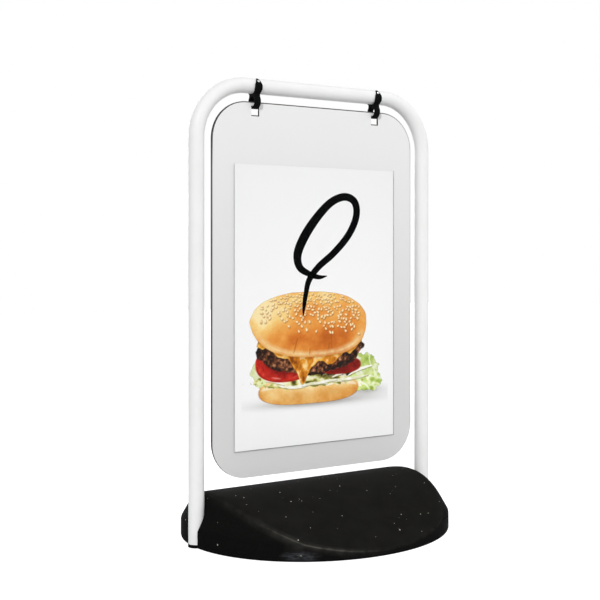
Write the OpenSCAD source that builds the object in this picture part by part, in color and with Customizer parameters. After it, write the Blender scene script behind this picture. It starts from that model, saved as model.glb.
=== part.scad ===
// Swinging pavement sign: a bent tube hoop stands in a heavy oval base, and a rounded board
// hangs from the hoop on two moulded hangers. Both faces of the board carry a poster sleeve.
// Millimetres. +Z is up, the front faces -Y, and the origin is on the floor under the middle.

/* [Frame] */
// Outside diameter of the hoop's tube
tube_d = 32; // [26:0.2:40]
// Wall thickness of the tube
tube_wall = 2; // [1.5:0.1:3]
// Height of the top of the hoop above the floor
frame_h = 950; // [860:1:1200]
// Distance between the centres of the two legs
leg_spacing = 578; // [562:1:700]
// Radius of the hoop's two bends, at the middle of the tube
bend_r = 113; // [70:1:160]

/* [Base] */
// How far the base runs past the middle of each leg, along X
base_past_leg = 7; // [5:0.5:20]
// Depth of the base at the floor, along Y
base_d = 520; // [430:1:640]
// Height of the base at its ridge
base_h = 101; // [82:1:125]
// Radius over which the ridge is rounded
ridge_r = 270; // [180:5:330]
// Height at which the top slope runs out at the front and rear edge
edge_h = 13; // [6:1:30]
// Height of the upright part of the skirt
skirt_h = 34; // [20:1:50]
// Lean of the skirt above that, from the vertical, in degrees
skirt_lean = 30; // [10:1:40]
// Thickness of the base under each leg
slot_floor = 5; // [4.5:0.5:8]
// Gap between a leg and the walls of its slot
slot_gap = 1.5; // [0.5:0.25:4]

/* [Feet and bolts] */
// Thickness of the plug's collar under the tube
collar_t = 1.5; // [1:0.25:3]
// Length of the plug inside the tube
plug_len = 30; // [22:1:50]
// Diameter of the bolts' thread
bolt_d = 8; // [6:1:8]
// Diameter of the bolts' countersunk head
bolt_head_d = 15.5; // [12:0.5:16]
// Height of the bolts' countersunk head
bolt_head_h = 3.8; // [3:0.1:4]
// How far the bolts run on past their nuts
bolt_past_nut = 7.4; // [2:0.2:12]
// Nut size across its flats
nut_af = 13; // [10:0.5:14]
// Thickness of the nuts
nut_t = 6.5; // [4:0.5:8]
// How much narrower the washers are than the tube
washer_under = 3; // [2:0.5:6]
// Thickness of the washers
washer_t = 2; // [1.5:0.1:2.2]

/* [Hangers] */
// Distance of each hanger's middle from the end of the hoop's bend
hanger_from_bend = 22.5; // [12:0.5:60]
// Width of each hanger's clip along the tube
hanger_w = 17; // [12:0.5:22]
// Thickness of the clip under the tube
clip_t = 5; // [4:0.25:7]
// How much thinner the clip is at its side than at its bottom
clip_thinning = 1.8; // [0:0.1:2]
// Height to which the clip's arms reach round the tube, in degrees above its middle
clip_reach = 58; // [50:1:72]
// Width of the clip's arms at their tips
tip_w = 3; // [2:0.5:8]
// Width of the ring and waist along the tube
ring_w = 13; // [10:0.5:17]
// Inside radius of the ring that carries the board
ring_ir = 10; // [8:0.25:12]
// Thickness of the ring
ring_t = 5.5; // [4:0.25:7]
// Width of the waist between clip and ring
waist_w = 24; // [16:1:28]
// Where the ring's gap starts, in degrees behind its lowest point
ring_gap_at = 62; // [55:1:75]
// Height of the screw on the clip's front arm, in degrees above the tube's middle
screw_at = 27; // [22:1:40]
// Diameter of the screw's shank
screw_d = 3.5; // [2.9:0.1:4]
// Diameter of the screw's pan head
screw_head_d = 5.6; // [5:0.1:6.5]
// Length of the screw's shank
screw_len = 12; // [8:1:16]

/* [Board] */
// Gap between each leg and the board
side_gap = 18; // [8:0.5:40]
// Gap between the hoop's bends and the board's corners
corner_gap = 17; // [10:0.5:45]
// Gap between the ridge of the base and the board
board_gap = 24; // [15:1:80]
// Thickness of the board
panel_t = 5; // [3:0.5:6]
// Gap on each side of a hanger in its square hole in the board
hole_gap = 3; // [0.8:0.1:4]

/* [Poster sleeves] */
// Width of board left on each side of a sleeve
margin_side = 50; // [30:1:90]
// Height of board left above a sleeve
margin_top = 129; // [60:1:200]
// Height of board left below a sleeve
margin_low = 55; // [30:1:120]
// Thickness of the clear sheet
sleeve_sheet = 0.5; // [0.4:0.1:0.8]
// Width of the welded sides and bottom
weld_w = 1; // [0.8:0.1:3]
// Space for the poster between the two sheets
pocket_t = 0.6; // [0.5:0.1:1]
// Thickness of the poster
poster_t = 0.35; // [0.2:0.05:0.45]
// Gap between a poster's edges and its sleeve
poster_gap = 0.5; // [0.3:0.1:2]
// Thickness of the tape behind a sleeve
tape_t = 2; // [0.8:0.1:3]
// Width of the tape
tape_w = 12; // [6:1:25]
// Distance of the tape from the sleeve's edges
tape_inset = 8; // [4:1:30]

/* [Hidden] */

$fn = 96;
eps = 0.01;           // overlap of cutting tools past the faces they cut
fit_gap = 0.05;       // radial clearance of a shank, plug or nut in its hole
seat_gap = 0.3;       // rest clearance between the board and the ring that carries it
over = 60;            // how far a through cut runs past a part

tube_r = tube_d / 2;
tube_ir = tube_r - tube_wall;
tube_z = frame_h - tube_r;              // middle of the top tube
leg_x = leg_spacing / 2;
leg_z0 = slot_floor + collar_t;         // lower end of the legs

// Base
base_w = leg_spacing + 2 * base_past_leg;
half_w = base_w / 2;
half_d = base_d / 2;
outline_steps = 96;
slot_r = tube_r + slot_gap;
tongue_r = tube_r + 0.5;                // the floor under a leg reaches just past its tube
lean_h = base_h - skirt_h;
lean_in = lean_h * tan(skirt_lean);     // how far the skirt has leaned in at the ridge's height
ridge_z = base_h - ridge_r;             // centre of the ridge's arc
edge_dist = sqrt(half_d * half_d + (edge_h - ridge_z) * (edge_h - ridge_z));
slope = atan2(half_d, edge_h - ridge_z) - acos(ridge_r / edge_dist);
ridge_steps = 12;

// Feet
bolt_r = bolt_d / 2;
bolt_head_r = bolt_head_d / 2;
head_inset = 0.4;                       // the bolt heads and washers lie this far above the floor
recess_h = head_inset + washer_t;
nut_z = leg_z0 + 0.5 * plug_len;        // lower face of the nuts
bolt_len = nut_z + nut_t + bolt_past_nut - head_inset;
washer_d = tube_d - washer_under;

// Hangers
hanger_x = leg_x - bend_r - hanger_from_bend;
clip_ir = tube_r + fit_gap;
clip_or = clip_ir + clip_t - clip_thinning;
clip_drop = clip_thinning;              // the outer arc is struck from this far below the tube's middle
ring_or = ring_ir + ring_t;
swing_z = tube_z - tube_r - ring_or - 0.5;   // middle of the rings: the line that the board swings about
ring_gap = panel_t + 0.6;               // the board is threaded in through this
ring_gap_deg = 2 * asin(ring_gap / 2 / (ring_ir + ring_t / 2));
screw_r = screw_d / 2;
screw_head_r = screw_head_d / 2;
screw_head_h = 2.4;
screw_seat = clip_or - clip_drop * sin(screw_at) - 0.8;   // distance of the head's face from the tube's middle

// Board: its strip above the holes lies inside the rings
strip_reach = sqrt((ring_ir - seat_gap) * (ring_ir - seat_gap) - panel_t * panel_t / 4);
hole_top = swing_z - strip_reach;
hole_side = ring_w + 2 * hole_gap;
panel_w = leg_spacing - tube_d - 2 * side_gap;
panel_top = swing_z - 1;
panel_z0 = base_h + board_gap;
panel_h = panel_top - panel_z0;
panel_corner_r = bend_r - tube_r - corner_gap;

// Sleeves
sleeve_w = panel_w - 2 * margin_side;
sleeve_h = panel_h - margin_top - margin_low;
sleeve_z0 = panel_z0 + margin_low;
sleeve_t = 2 * sleeve_sheet + pocket_t;
sleeve_y = panel_t / 2 + tape_t;        // the sleeve's back, measured out from the board's middle
poster_w = sleeve_w - 2 * weld_w - 2 * poster_gap;
poster_h = sleeve_h - weld_w - 2 * poster_gap;
poster_y = sleeve_y + sleeve_sheet + (pocket_t - poster_t) / 2;

// ---- helpers ----

// A box centred in X and Y, from z0 up
module block(size_x, size_y, z0, size_z) {
    translate([-size_x / 2, -size_y / 2, z0]) cube([size_x, size_y, size_z]);
}

// A flat shape drawn in Y and Z, given width w along X and centred on x
module along_x(x, w) {
    translate([x - w / 2, 0, 0])
        rotate([90, 0, 90]) linear_extrude(height = w) children();
}

// The front piece as drawn, or the same turned to the rear
module facing(rear) {
    rotate([0, 0, rear ? 180 : 0]) children();
}

module both_legs() {
    for (side = [-1, 1]) translate([side * leg_x, 0, 0]) children();
}

// ---- base ----

function oval(a, b) = [
    for (i = [0 : outline_steps - 1])
        let (t = 360 * (i + 0.5) / outline_steps) [a * cos(t), b * sin(t)]
];

// The rounded ridge and its two straight slopes, as seen from the end
function ridge_outline() = concat(
    [[-half_d - over, -eps], [half_d + over, -eps]],
    [[half_d + over, edge_h - over * tan(slope)]],
    [for (i = [ridge_steps : -1 : -ridge_steps])
        let (t = slope * i / ridge_steps) [ridge_r * sin(t), ridge_z + ridge_r * cos(t)]],
    [[-half_d - over, edge_h - over * tan(slope)]]
);

module base_solid() {
    union() {
        linear_extrude(height = skirt_h + eps) polygon(oval(half_w, half_d));
        translate([0, 0, skirt_h])
            linear_extrude(height = lean_h, slices = 1,
                scale = [1 - lean_in / half_w, 1 - lean_in / half_d])
                polygon(oval(half_w, half_d));
    }
}

module leg_slot() {
    translate([0, 0, slot_floor]) {
        cylinder(r = slot_r, h = base_h);
        translate([0, -slot_r, 0]) cube([base_past_leg + over, 2 * slot_r, base_h]);
    }
}

module base() {
    color([0.09, 0.09, 0.09]) difference() {
        union() {
            intersection() {
                base_solid();
                along_x(0, base_w + over) polygon(ridge_outline());
            }
            both_legs() cylinder(r = tongue_r, h = slot_floor);
        }
        translate([leg_x, 0, 0]) leg_slot();
        translate([-leg_x, 0, 0]) rotate([0, 0, 180]) leg_slot();
        both_legs() translate([0, 0, -eps]) {
            cylinder(r = washer_d / 2 + 0.5, h = recess_h + eps);
            cylinder(r = bolt_head_r - washer_t + 0.75, h = slot_floor + 2 * eps);
        }
    }
}

// ---- frame ----

// The hoop's path swept with a round of radius r
module hoop(r, leg_from) {
    bend_x = leg_x - bend_r;
    bend_z = tube_z - bend_r;
    both_legs() translate([0, 0, leg_from]) cylinder(r = r, h = bend_z - leg_from);
    translate([-bend_x, 0, tube_z]) rotate([0, 90, 0]) cylinder(r = r, h = 2 * bend_x);
    for (side = [0, 1]) mirror([side, 0, 0])
        translate([bend_x, 0, bend_z]) rotate([90, 0, 0])
            rotate_extrude(angle = 90) translate([bend_r, 0]) circle(r = r);
}

// Places its children on the front of the clip, with +Z pointing out of the tube's middle
module at_screw() {
    translate([0, 0, tube_z]) rotate([90 - screw_at, 0, 0]) children();
}

module frame_tube() {
    color([0.94, 0.94, 0.94]) difference() {
        hoop(tube_r, leg_z0);
        hoop(tube_ir, leg_z0 - 1);
        for (side = [-1, 1]) translate([side * hanger_x, 0, 0])
            at_screw() cylinder(r = screw_r + fit_gap, h = tube_r + 1);
    }
}

module foot_plug() {
    color([0.1, 0.1, 0.1]) difference() {
        union() {
            translate([0, 0, slot_floor]) cylinder(r = tube_r, h = collar_t);
            translate([0, 0, leg_z0 - eps]) cylinder(r = tube_ir - fit_gap, h = plug_len);
        }
        translate([0, 0, slot_floor - 1]) cylinder(r = bolt_r + fit_gap, h = plug_len + 10);
        translate([0, 0, nut_z]) cylinder(d = (nut_af + 2 * fit_gap) / cos(30), h = plug_len, $fn = 6);
    }
}

module foot_plug_left() {
    translate([-leg_x, 0, 0]) foot_plug();
}

module foot_plug_right() {
    translate([leg_x, 0, 0]) foot_plug();
}

module plug_nuts() {
    color([0.7, 0.7, 0.72]) both_legs() translate([0, 0, nut_z]) difference() {
        cylinder(d = nut_af / cos(30), h = nut_t, $fn = 6);
        translate([0, 0, -1]) cylinder(r = bolt_r + fit_gap, h = nut_t + 2);
    }
}

module base_bolts() {
    socket_af = 5;
    color([0.75, 0.75, 0.77]) both_legs() translate([0, 0, head_inset]) difference() {
        union() {
            cylinder(r1 = bolt_head_r, r2 = bolt_r, h = bolt_head_h);
            cylinder(r = bolt_r, h = bolt_len);
        }
        translate([0, 0, -1]) cylinder(d = socket_af / cos(30), h = 3.5, $fn = 6);
    }
}

module base_washers() {
    lean = (bolt_head_r - bolt_r) / bolt_head_h;     // the head's cone, radius lost per height
    color([0.72, 0.72, 0.74]) both_legs() translate([0, 0, head_inset]) difference() {
        cylinder(r = washer_d / 2, h = washer_t);
        translate([0, 0, -1])
            cylinder(r1 = bolt_head_r + lean + fit_gap,
                r2 = bolt_head_r - lean * (washer_t + 1) + fit_gap, h = washer_t + 2);
    }
}

// ---- hangers ----

// A pie slice from the origin: from angle a0 to a1, counted from +Y towards +Z
module slice(a0, a1, r) {
    steps = 6;
    polygon(concat([[0, 0]],
        [for (i = [0 : steps]) let (t = a0 + (a1 - a0) * i / steps) [r * cos(t), r * sin(t)]]));
}

// Seen from the right-hand end: Y across, with the front at -Y, and Z up
module hanger_outline() {
    difference() {
        union() {
            translate([0, tube_z - clip_drop]) circle(r = clip_or);
            translate([0, swing_z]) circle(r = ring_or);
            translate([-waist_w / 2, swing_z + ring_ir]) square([waist_w, ring_t + clip_t]);
        }
        translate([0, tube_z]) circle(r = clip_ir);
        translate([0, tube_z]) slice(clip_reach, 180 - clip_reach, 2 * clip_or);
        translate([0, swing_z]) circle(r = ring_ir);
        translate([0, swing_z])
            slice(ring_gap_at - 90, ring_gap_at - 90 + ring_gap_deg, 2 * ring_or);
    }
}

// Seen from the front: the arms taper to their tips, and the clip narrows to the ring below the tube
module hanger_front() {
    half_tip = tip_w / 2;
    half_clip = hanger_w / 2;
    half_ring = ring_w / 2;
    tip_z = tube_z + clip_or * sin(clip_reach);
    waist_z = tube_z - tube_r - 1;
    low_z = swing_z - ring_or - 1;
    polygon([[half_ring, low_z], [half_ring, waist_z], [half_clip, tube_z - tube_r / 2],
        [half_clip, tube_z + 1], [half_tip, tip_z], [half_tip, tip_z + 3],
        [-half_tip, tip_z + 3], [-half_tip, tip_z], [-half_clip, tube_z + 1],
        [-half_clip, tube_z - tube_r / 2], [-half_ring, waist_z], [-half_ring, low_z]]);
}

module hanger() {
    color([0.06, 0.06, 0.06]) difference() {
        intersection() {
            along_x(0, hanger_w) hanger_outline();
            translate([0, over / 2, 0]) rotate([90, 0, 0]) linear_extrude(height = over) hanger_front();
        }
        at_screw() {
            cylinder(r = screw_r + fit_gap, h = clip_or + 5);
            translate([0, 0, screw_seat]) cylinder(r = screw_head_r + 0.3, h = 5);
        }
    }
}

module hanger_left() {
    translate([-hanger_x, 0, 0]) hanger();
}

module hanger_right() {
    translate([hanger_x, 0, 0]) hanger();
}

module hanger_screw() {
    recess_w = 0.8;
    recess_l = 3.2;
    at_screw() translate([0, 0, screw_seat]) difference() {
        union() {
            cylinder(r = screw_head_r, h = screw_head_h * 0.5);
            translate([0, 0, screw_head_h * 0.5])
                cylinder(r1 = screw_head_r, r2 = screw_head_r * 0.6, h = screw_head_h * 0.5);
            translate([0, 0, -screw_len]) cylinder(r1 = 0.4, r2 = screw_r, h = 3);
            translate([0, 0, 3 - screw_len]) cylinder(r = screw_r, h = screw_len - 3);
        }
        for (turn = [0, 90]) rotate([0, 0, turn])
            block(recess_l, recess_w, screw_head_h - 1.3, 2);
    }
}

module hanger_screws() {
    color([0.8, 0.8, 0.82])
        for (side = [-1, 1]) translate([side * hanger_x, 0, 0]) hanger_screw();
}

// ---- board ----

module rounded_sheet() {
    inner_x = panel_w / 2 - panel_corner_r;
    union() {
        translate([-panel_w / 2, panel_z0 + panel_corner_r])
            square([panel_w, panel_h - 2 * panel_corner_r]);
        translate([-inner_x, panel_z0]) square([2 * inner_x, panel_h]);
        for (x = [-inner_x, inner_x], z = [panel_z0 + panel_corner_r, panel_top - panel_corner_r])
            translate([x, z]) circle(r = panel_corner_r);
    }
}

module panel_sheet() {
    color([0.88, 0.88, 0.88]) translate([0, panel_t / 2, 0]) rotate([90, 0, 0])
        linear_extrude(height = panel_t) difference() {
            rounded_sheet();
            for (side = [-1, 1])
                translate([side * hanger_x - hole_side / 2, hole_top - hole_side]) square(hole_side);
        }
}

module sleeve() {
    color([0.9, 0.94, 0.96, 0.4]) difference() {
        translate([-sleeve_w / 2, -sleeve_y - sleeve_t, sleeve_z0]) cube([sleeve_w, sleeve_t, sleeve_h]);
        translate([-sleeve_w / 2 + weld_w, -sleeve_y - sleeve_t + sleeve_sheet, sleeve_z0 + weld_w])
            cube([sleeve_w - 2 * weld_w, pocket_t, sleeve_h]);
    }
}

module poster() {
    color([0.96, 0.96, 0.95])
        translate([-poster_w / 2, -poster_y - poster_t, sleeve_z0 + weld_w + poster_gap])
            cube([poster_w, poster_t, poster_h]);
}

// Four strips round the edge of the sleeve's back
module sleeve_tape() {
    across = sleeve_w - 2 * tape_inset;
    upright = sleeve_h - 2 * (tape_inset + tape_w + 2);
    color([0.97, 0.97, 0.95]) translate([0, -sleeve_y, 0]) {
        for (z = [sleeve_z0 + tape_inset, sleeve_z0 + sleeve_h - tape_inset - tape_w])
            translate([-across / 2, 0, z]) cube([across, tape_t, tape_w]);
        for (x = [-across / 2, across / 2 - tape_w])
            translate([x, 0, sleeve_z0 + tape_inset + tape_w + 2]) cube([tape_w, tape_t, upright]);
    }
}

module sleeve_front() { facing(false) sleeve(); }
module sleeve_rear() { facing(true) sleeve(); }
module poster_front() { facing(false) poster(); }
module poster_rear() { facing(true) poster(); }
module sleeve_tape_front() { facing(false) sleeve_tape(); }
module sleeve_tape_rear() { facing(true) sleeve_tape(); }

base();
frame_tube();
foot_plug_left();
foot_plug_right();
plug_nuts();
base_bolts();
base_washers();
hanger_left();
hanger_right();
hanger_screws();
panel_sheet();
sleeve_front();
sleeve_rear();
poster_front();
poster_rear();
sleeve_tape_front();
sleeve_tape_rear();
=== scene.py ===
"""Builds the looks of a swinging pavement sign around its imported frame.

A bent steel hoop with a white powder coat stands in a heavy oval base of recycled rubber, and a light grey
board with a poster sleeve on each face swings from the hoop on two moulded nylon hangers.
Every length is in metres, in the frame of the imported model, unless a name ends in _mm. The poster's picture
is drawn in millimetres from the middle of its sheet.
"""

import logging
import math
from dataclasses import dataclass, field
from enum import Enum

import bmesh
import bpy
import numpy as np
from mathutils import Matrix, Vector


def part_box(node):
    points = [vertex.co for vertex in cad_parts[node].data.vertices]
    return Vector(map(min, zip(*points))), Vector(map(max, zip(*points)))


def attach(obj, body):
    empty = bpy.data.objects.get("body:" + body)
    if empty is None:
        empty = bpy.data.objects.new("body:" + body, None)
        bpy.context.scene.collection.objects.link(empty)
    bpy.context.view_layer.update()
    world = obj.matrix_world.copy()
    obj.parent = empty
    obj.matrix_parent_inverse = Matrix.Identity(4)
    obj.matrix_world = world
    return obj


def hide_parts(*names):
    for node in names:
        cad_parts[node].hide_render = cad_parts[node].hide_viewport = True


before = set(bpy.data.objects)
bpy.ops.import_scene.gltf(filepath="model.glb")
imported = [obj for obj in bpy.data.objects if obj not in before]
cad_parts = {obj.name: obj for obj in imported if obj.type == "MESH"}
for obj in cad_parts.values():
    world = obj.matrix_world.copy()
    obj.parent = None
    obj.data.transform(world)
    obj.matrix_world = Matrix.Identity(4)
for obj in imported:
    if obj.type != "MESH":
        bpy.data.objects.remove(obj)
LOG = logging.getLogger("pavement_sign")
MM = 0.001
CREASE_LAYER = "crease_mm"      # point layer of the base that its rubber reads
INK_LAYER = "ink"               # colour layer of the picture that its print reads

Tree = bpy.types.NodeTree
Node = bpy.types.Node
Socket = bpy.types.NodeSocket
Piece = bpy.types.Object
Pieces = list[bpy.types.Object]


# ---------------------------------------------------------------- small tools


class Face(Enum):
    """The two faces of the board, each with the way it looks along Y."""

    FRONT = -1.0
    REAR = 1.0


class Body(Enum):
    """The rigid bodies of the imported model."""

    STAND = "stand"
    BOARD = "board"


def srgb(hex_colour: str) -> np.ndarray:
    """Red, green and blue from 0 to 1, of six hex digits after a hash sign."""
    return np.array([int(hex_colour[i:i + 2], 16) / 255 for i in (1, 3, 5)])


def linear(colour: np.ndarray) -> np.ndarray:
    """Turns sRGB values from 0 to 1 into linear ones."""
    return np.where(colour <= 0.04045, colour / 12.92, ((colour + 0.055) / 1.055) ** 2.4)


def rgba(hex_colour: str) -> tuple[float, ...]:
    """The linear colour with a full alpha, as Blender's sockets take it."""
    return (*(float(v) for v in linear(srgb(hex_colour))), 1.0)


def add(tree: Tree, kind: str, settings: dict | None = None) -> Node:
    """Adds a node with its settings and its links.

    Args:
        tree: the node tree that gets it.
        kind: the node's type name.
        settings: what is set on the node, by name in lower case, and what each input gets, by name or number:
            a socket that feeds it, a hex colour or a value.

    Returns:
        The new node.
    """
    node = tree.nodes.new(kind)
    for key, value in (settings or {}).items():
        if isinstance(key, str) and key.islower():
            setattr(node, key, value)
        elif isinstance(value, Socket):
            tree.links.new(value, node.inputs[key])
        else:
            node.inputs[key].default_value = rgba(value) if isinstance(value, str) else value
    return node


def new_object(name: str, data: bpy.types.ID) -> Piece:
    """Makes an object in the scene at the frame's origin.

    Args:
        name: the object's name.
        data: its mesh, light or camera.

    Returns:
        The new object.
    """
    made = bpy.data.objects.new(name, data)
    bpy.context.scene.collection.objects.link(made)
    return made


def weld(mesh: bpy.types.Mesh, reach: float = 1e-6) -> None:
    """Joins points that lie together, drops the empty faces between them and turns all normals outward.

    Args:
        mesh: the mesh that is cleaned.
        reach: how far apart joined points may be.
    """
    shape = bmesh.new()
    shape.from_mesh(mesh)
    bmesh.ops.remove_doubles(shape, verts=shape.verts, dist=reach)
    bmesh.ops.dissolve_degenerate(shape, edges=shape.edges, dist=reach)
    bmesh.ops.recalc_face_normals(shape, faces=shape.faces)
    shape.to_mesh(mesh)
    shape.free()


def mesh_from(name: str, points: np.ndarray, faces: list) -> bpy.types.Mesh:
    """Makes a mesh with consistent outward normals.

    Args:
        name: the mesh's name.
        points: rows of x, y and z.
        faces: lists of point numbers.

    Returns:
        The mesh.
    """
    mesh = bpy.data.meshes.new(name)
    mesh.from_pydata([tuple(p) for p in points], [], faces)
    weld(mesh)
    return mesh


def apply_modifiers(piece: Piece) -> None:
    """Replaces the piece's mesh by the one that its modifiers give.

    Args:
        piece: the piece that keeps its shape and loses its modifiers.
    """
    graph = bpy.context.evaluated_depsgraph_get()
    mesh = bpy.data.meshes.new_from_object(piece.evaluated_get(graph))
    piece.modifiers.clear()
    piece.data = mesh


def dress(piece: Piece, material: bpy.types.Material) -> None:
    """Gives the piece one material in all its slots, or in a new one.

    Args:
        piece: the piece that gets it.
        material: what it is made of.
    """
    if piece.material_slots:
        for material_slot in piece.material_slots:
            material_slot.material = material
    else:
        piece.data.materials.append(material)


def dress_nodes(names: tuple[str, ...], material: bpy.types.Material) -> Pieces:
    """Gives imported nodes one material.

    Args:
        names: the nodes' names.
        material: what they are made of.

    Returns:
        The dressed nodes.
    """
    for name in names:
        dress(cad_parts[name], material)
    return [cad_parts[name] for name in names]


# ---------------------------------------------------------------- finishes

MATH, RANGE, NOISE = "ShaderNodeMath", "ShaderNodeMapRange", "ShaderNodeTexNoise"
MIX, BUMP, CELLS = "ShaderNodeMix", "ShaderNodeBump", "ShaderNodeTexVoronoi"
SPLIT, VECTOR, LAYER = "ShaderNodeSeparateXYZ", "ShaderNodeVectorMath", "ShaderNodeAttribute"


@dataclass
class Surface:
    """One material while it is dressed: its tree, its shader, and the spot on the piece in millimetres."""

    tree: Tree
    shader: Node
    place: Socket

    def feed(self, inputs: dict) -> None:
        """Gives the shader's inputs their patterns, or values that are the same all over.

        Args:
            inputs: a socket or a value for each input's name.
        """
        for name, source in inputs.items():
            if isinstance(source, Socket):
                self.tree.links.new(source, self.shader.inputs[name])
            else:
                self.shader.inputs[name].default_value = source


@dataclass(frozen=True)
class Finish:
    """What one material is. Each kind dresses its own surface."""

    name: str

    def build(self) -> bpy.types.Material:
        """Makes the material.

        Returns:
            A node material whose Principled shader is dressed by this finish.
        """
        material = bpy.data.materials.new(self.name)
        material.use_nodes = True
        tree = material.node_tree
        where = add(tree, "ShaderNodeTexCoord").outputs["Object"]
        in_mm = add(tree, VECTOR, {"operation": "SCALE", "Scale": 1000.0, 0: where}).outputs[0]
        self.dress(Surface(tree, tree.nodes["Principled BSDF"], in_mm))
        return material

    def dress(self, on: Surface) -> None:
        """Sets the surface's shader and its patterns."""
        raise NotImplementedError


@dataclass(frozen=True)
class CloudedFinish(Finish):
    """Two close shades that run into each other in clouds, which change the gloss too, over a fine texture."""

    colour: str = "#808080"
    overtone: str = "#707070"
    worn_share: float = 1.0
    worn_between: tuple[float, float] = (0.3, 0.7)
    cloud_mm: float = 10.0
    cloud_detail: float = 4.0
    texture_mm: float = 1.0
    texture_detail: float = 2.0
    texture_deep_mm: float = 0.0
    roughness: float = 0.5
    rough_span: tuple[float, float] = (-0.05, 0.1)
    gloss: float = 0.5
    metallic: float = 0.0

    def dress(self, on: Surface) -> None:
        """Lays the worn shade over the plain one by the clouds.

        Args:
            on: the surface that is dressed.
        """
        tree = on.tree
        look = {"Detail": self.cloud_detail, "Roughness": 0.55, "Vector": on.place}
        cloud = add(tree, NOISE, {"Scale": 1.0 / self.cloud_mm, **look}).outputs["Fac"]
        start, end = self.worn_between
        share = add(tree, RANGE, {0: cloud, 1: start, 2: end, 3: 0.0, 4: self.worn_share}).outputs[0]
        low, high = (self.roughness + change for change in self.rough_span)
        on.feed({
            "Base Color": add(tree, MIX, {"data_type": "RGBA", 0: share,
                                          6: self.colour, 7: self.overtone}).outputs[2],
            "Roughness": add(tree, RANGE, {0: cloud, 1: 0.3, 2: 0.7, 3: low, 4: high}).outputs[0],
            "Metallic": self.metallic, "Specular IOR Level": self.gloss,
        })
        if self.texture_deep_mm:
            look = {"Detail": self.texture_detail, "Roughness": 0.55, "Vector": on.place}
            grain = add(tree, NOISE, {"Scale": 1.0 / self.texture_mm, **look}).outputs["Fac"]
            deep = self.texture_deep_mm * MM
            bumps = add(tree, BUMP, {"Strength": 1.0, "Distance": deep, "Height": grain})
            on.feed({"Normal": bumps.outputs[0]})


@dataclass(frozen=True)
class PowderCoat(CloudedFinish):
    """Polyester powder baked on steel: an even white with a soft gloss, a trace of dust, and the faint orange
    peel of the cure."""

    colour: str = "#ededed"
    overtone: str = "#e7e7e6"
    worn_share: float = 0.6
    worn_between: tuple[float, float] = (0.45, 0.75)
    cloud_mm: float = 70.0
    texture_mm: float = 2.2
    texture_detail: float = 1.0
    texture_deep_mm: float = 0.03
    roughness: float = 0.36
    rough_span: tuple[float, float] = (-0.04, 0.08)
    gloss: float = 0.12


@dataclass(frozen=True)
class MouldedNylon(CloudedFinish):
    """Black glass-filled nylon straight from a spark-eroded mould: deep black, satin, with a fine even texture,
    and a shade greyer where it is scuffed."""

    colour: str = "#060607"
    overtone: str = "#111111"
    worn_share: float = 0.7
    worn_between: tuple[float, float] = (0.5, 0.8)
    cloud_mm: float = 7.0
    cloud_detail: float = 5.0
    texture_mm: float = 0.8
    texture_deep_mm: float = 0.05
    rough_span: tuple[float, float] = (-0.05, 0.12)
    gloss: float = 0.03


@dataclass(frozen=True)
class ZincPlate(CloudedFinish):
    """Bright zinc electroplated on mild steel: pale silver with cloudy dull spots and a fine, soft gloss."""

    colour: str = "#cfd1d3"
    overtone: str = "#aeb0b1"
    cloud_mm: float = 4.0
    texture_mm: float = 0.35
    texture_deep_mm: float = 0.015
    roughness: float = 0.28
    rough_span: tuple[float, float] = (-0.06, 0.14)
    metallic: float = 1.0


@dataclass(frozen=True)
class BlackInk(CloudedFinish):
    """A heavy solid of black ink on coated paper: flat and dense, with rare pinholes where the paper shows."""

    colour: str = "#030303"
    overtone: str = "#2b2b2b"
    worn_between: tuple[float, float] = (0.68, 0.74)
    cloud_mm: float = 1.6
    cloud_detail: float = 2.0
    gloss: float = 0.01


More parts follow.
